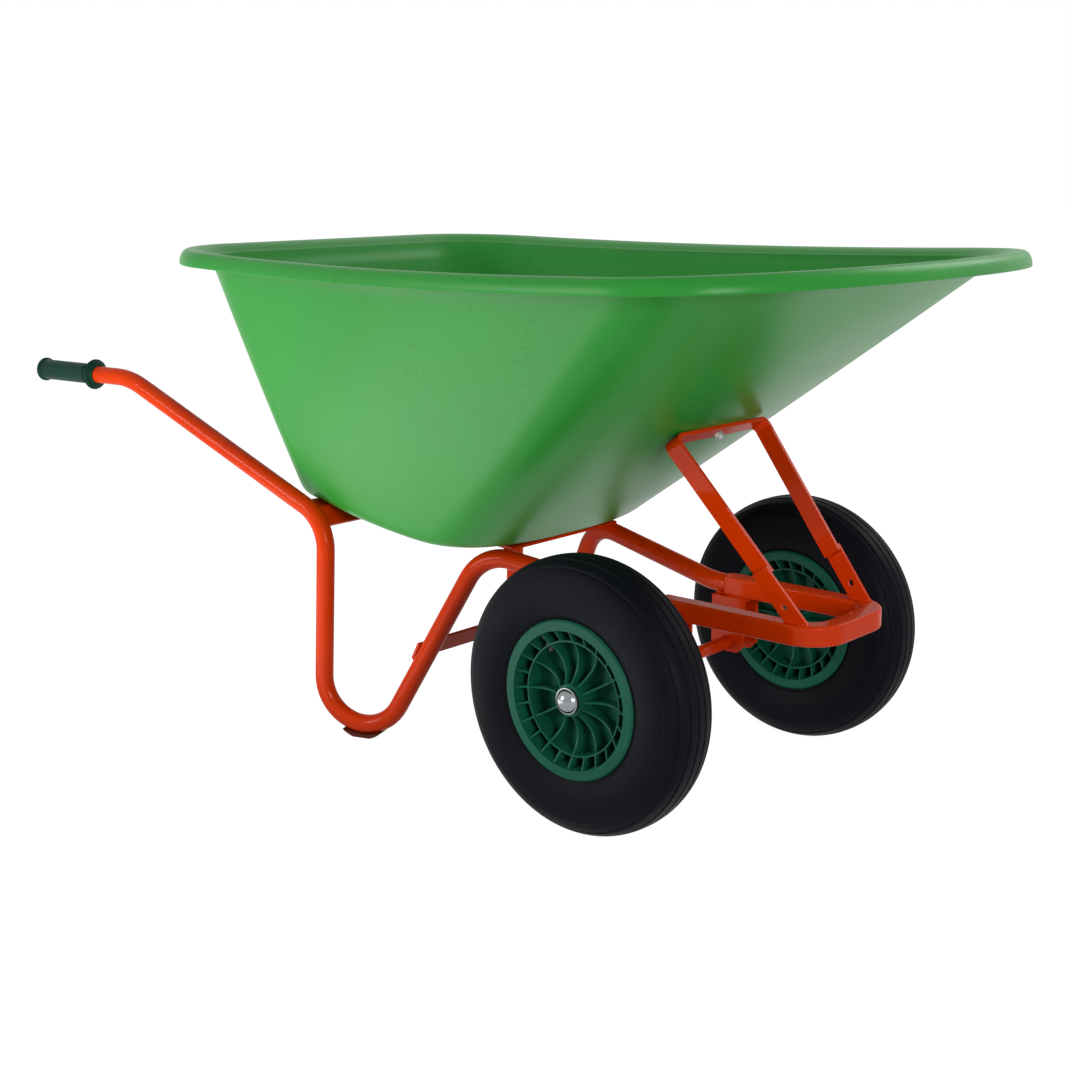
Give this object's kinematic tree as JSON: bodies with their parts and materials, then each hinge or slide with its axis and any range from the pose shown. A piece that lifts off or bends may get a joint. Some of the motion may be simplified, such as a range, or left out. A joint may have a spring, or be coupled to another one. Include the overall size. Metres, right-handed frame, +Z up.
{
  "type": "two wheel wheelbarrow",
  "caption": "Wheelbarrow with a deep moulded tray on a bent tube frame, a bowed front and pneumatic wheels that turn freely on one axle.",
  "frame": {"origin": "on the ground under the middle of the object's box", "axes": "+X forward towards the tray's nose, +Y to the left of someone pushing, +Z up"},
  "size_m": [1.6793, 0.937, 0.81],
  "materials": {
    "tray_plastic": "satin moulded plastic, bright green",
    "frame_paint": "gloss orange-red paint",
    "grip_plastic": "dark green soft plastic",
    "shoe_plastic": "dark wear-resistant plastic",
    "tyre_rubber": "black tyre rubber",
    "tube_rubber": "smooth black butyl",
    "rim_plastic": "satin moulded plastic, deep green",
    "cap_chrome": "bright plated",
    "cap_plastic": "black plastic",
    "bush_plastic": "black bearing plastic",
    "valve_brass": "plain brass",
    "zinc_steel": "zinc plated"
  },
  "bodies": {
    "frame": {"tray": "tray_plastic", "left_side_tube": "frame_paint", "right_side_tube": "frame_paint", "front_bow": "frame_paint", "left_grip": "grip_plastic", "right_grip": "grip_plastic", "rear_cross_plate": "frame_paint", "floor_strip": "frame_paint", "lower_crossbar": "frame_paint", "left_wear_shoe": "shoe_plastic", "right_wear_shoe": "shoe_plastic", "yoke": "frame_paint", "left_yoke_lug": "frame_paint", "right_yoke_lug": "frame_paint", "left_axle_bracket": "frame_paint", "right_axle_bracket": "frame_paint", "axle": "frame_paint", "left_spacer_tube": "zinc_steel", "right_spacer_tube": "zinc_steel", "left_thrust_washers": "zinc_steel", "right_thrust_washers": "zinc_steel", "left_axle_cap": "cap_chrome", "right_axle_cap": "cap_chrome", "tray_bolts": "zinc_steel", "tray_washers": "zinc_steel", "tray_nuts": "zinc_steel", "yoke_bolt": "zinc_steel", "yoke_washer": "zinc_steel", "yoke_nut": "zinc_steel"},
    "left_wheel": {"left_tyre": "tyre_rubber", "left_inner_tube": "tube_rubber", "left_rim": "rim_plastic", "left_hub_bushes": "bush_plastic", "left_valve": "valve_brass", "left_valve_cap": "cap_plastic"},
    "right_wheel": {"right_tyre": "tyre_rubber", "right_inner_tube": "tube_rubber", "right_rim": "rim_plastic", "right_hub_bushes": "bush_plastic", "right_valve": "valve_brass", "right_valve_cap": "cap_plastic"}
  },
  "joints": [
    {"name": "left_wheel_spin", "type": "hinge", "parent": "frame", "child": "left_wheel", "pos_m": [0.43233, 0.2775, 0.2], "axis": [0, 1, 0], "continuous": true},
    {"name": "right_wheel_spin", "type": "hinge", "parent": "frame", "child": "right_wheel", "pos_m": [0.43233, -0.2775, 0.2], "axis": [0, 1, 0], "continuous": true}
  ]
}
